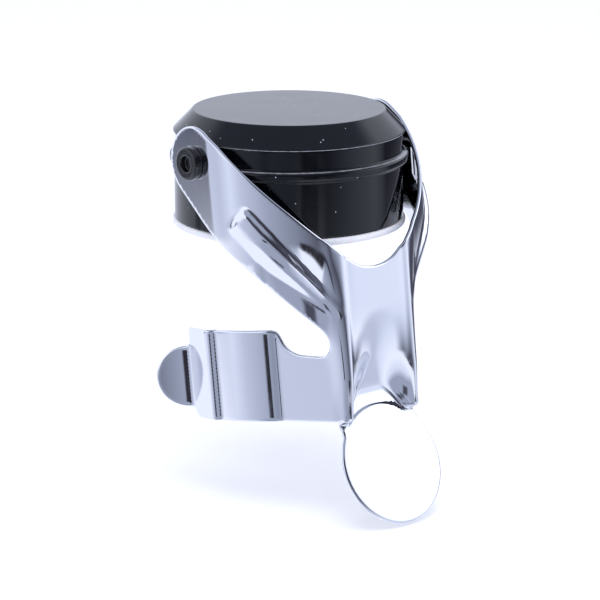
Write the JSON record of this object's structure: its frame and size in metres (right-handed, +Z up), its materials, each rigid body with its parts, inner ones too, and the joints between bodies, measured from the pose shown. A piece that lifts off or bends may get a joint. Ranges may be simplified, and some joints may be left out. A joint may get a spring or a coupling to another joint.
{
  "type": "champagne stopper",
  "caption": "Champagne bottle stopper: a round cap with a spring-backed seal and a hinged polished steel lever whose clip reaches round the bottle's neck.",
  "frame": {"origin": "centre of the seal's underside, where the bottle's mouth meets it", "axes": "+Z up through the cap along the bottle's axis, +X towards the front of the lever, the hinge pins lie along Y"},
  "size_m": [0.0573, 0.0496, 0.0723],
  "materials": {
    "black_plastic": "moulded, polished",
    "white_plastic": "moulded, satin",
    "silicone": "moulded, matt",
    "plain_plastic": "moulded, plain",
    "spring_steel": "drawn wire",
    "pin_plastic": "moulded, polished",
    "polished_steel": "mirror polished"
  },
  "bodies": {
    "cap": {"cap_cover": "black_plastic", "cap_body": "black_plastic", "seat_ring": "white_plastic", "pivot_pin_left": "pin_plastic", "pivot_pin_right": "pin_plastic", "seal_spring": "spring_steel"},
    "seal": {"seal_pad": "silicone", "pressure_plate": "plain_plastic"},
    "lever": {"lever": "polished_steel"}
  },
  "joints": [
    {"name": "lever_hinge", "type": "hinge", "parent": "cap", "child": "lever", "pos_m": [0, 0, 0.014], "axis": [0, -1, 0], "range_deg": [0, 200]},
    {"name": "seal_slide", "type": "slide", "parent": "cap", "child": "seal", "axis": [0, 0, 1], "range_m": [0, 0.0025], "stiffness_N_per_m": 1430, "deforming": ["seal_spring"]}
  ]
}
